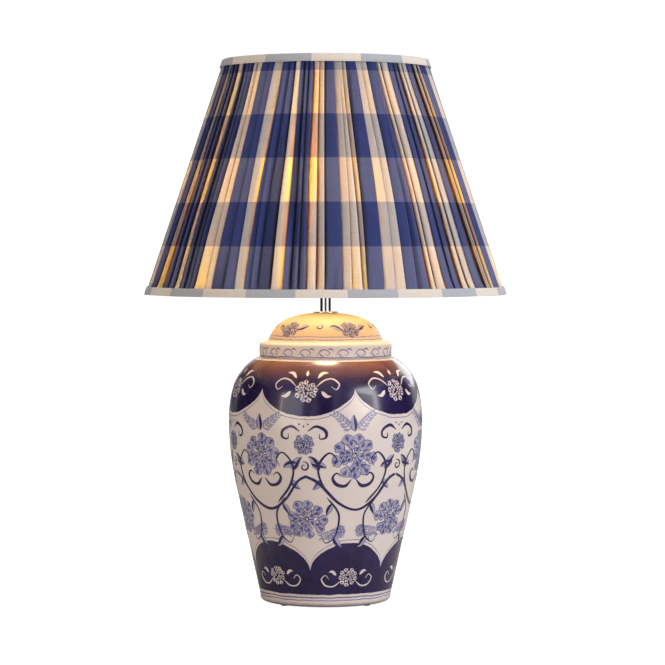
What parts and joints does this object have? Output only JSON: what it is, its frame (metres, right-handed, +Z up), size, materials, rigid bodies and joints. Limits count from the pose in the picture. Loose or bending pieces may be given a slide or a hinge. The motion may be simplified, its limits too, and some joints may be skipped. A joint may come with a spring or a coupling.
{
  "type": "ginger jar table lamp",
  "caption": "Table lamp with a lidded glazed ginger jar base, chrome stem, push-bar lampholder and a tapered gathered check shade on a duplex carrier.",
  "frame": {"origin": "on the table, under the axis of the jar, at the underside of the felt pads", "axes": "+Z up along the jar's axis, -Y to the front, +Y to the cord outlet at the back"},
  "size_m": [0.4519, 0.452, 0.6737],
  "materials": {
    "glaze": "glossy cream glaze painted in cobalt blue",
    "felt": "dark wool felt",
    "zinc_steel": "zinc-plated steel",
    "black_rubber": "matt black rubber",
    "clear_rubber": "translucent rubber",
    "chrome": "polished chrome plate",
    "core_plastic": "black moulded thermoset",
    "bar_plastic": "white moulded plastic",
    "brass": "bright brass",
    "bulb_glass": "opal glass, lit warm white",
    "bulb_metal": "bright pressed aluminium",
    "black_glass": "black glass insulator",
    "white_enamel": "white enamel on steel wire",
    "check_cloth": "gathered cotton in a navy, blue and cream check",
    "lining_cloth": "smooth white cotton lining",
    "trim_cloth": "flat cotton band in blue-grey and cream blocks"
  },
  "bodies": {
    "base": {"jar_body": "glaze", "jar_lid": "glaze", "felt_pads": "felt", "threaded_rod": "zinc_steel", "base_nut": "zinc_steel", "base_washer": "zinc_steel", "holder_grub_screw": "zinc_steel", "base_cushion": "black_rubber", "cord_bush": "black_rubber", "cap_cushion": "clear_rubber", "cap_disc": "chrome", "stem_tube": "chrome", "holder_base": "chrome", "holder_barrel": "chrome", "shade_ring": "chrome", "holder_core": "core_plastic", "screw_shell": "brass", "centre_contact": "brass", "terminal_screws": "brass"},
    "switch": {"push_bar": "bar_plastic"},
    "bulb": {"bulb_glass": "bulb_glass", "bulb_cap": "bulb_metal", "bulb_insulator": "black_glass", "bulb_contact": "brass"},
    "carrier": {"carrier_base_ring": "white_enamel", "carrier_top_ring": "white_enamel", "carrier_leg_1": "white_enamel", "carrier_leg_2": "white_enamel", "carrier_leg_3": "white_enamel", "carrier_leg_4": "white_enamel"},
    "shade": {"duplex_ring": "white_enamel", "shade_top_ring": "white_enamel", "shade_bottom_ring": "white_enamel", "spider_arm_1": "white_enamel", "spider_arm_2": "white_enamel", "spider_arm_3": "white_enamel", "shade_strut_1": "white_enamel", "shade_strut_2": "white_enamel", "shade_strut_3": "white_enamel", "shade_strut_4": "white_enamel", "shade_strut_5": "white_enamel", "shade_strut_6": "white_enamel", "shade_strut_7": "white_enamel", "shade_strut_8": "white_enamel", "shade_cover": "check_cloth", "shade_lining": "lining_cloth", "top_trim": "trim_cloth", "bottom_trim": "trim_cloth"}
  },
  "joints": [
    {"name": "switch_push", "type": "slide", "parent": "base", "child": "switch", "axis": [-1, 0, 0], "range_m": [0, 0.006]},
    {"name": "bulb_lift", "type": "slide", "parent": "base", "child": "bulb", "axis": [0, 0, 1], "range_m": [0, 0.26]},
    {"name": "shade_turn", "type": "hinge", "parent": "base", "child": "carrier", "pos_m": [0, 0, 0.4446], "axis": [0, 0, 1], "continuous": true},
    {"name": "shade_lift", "type": "slide", "parent": "carrier", "child": "shade", "axis": [0, 0, 1], "range_m": [0, 0.3]}
  ]
}
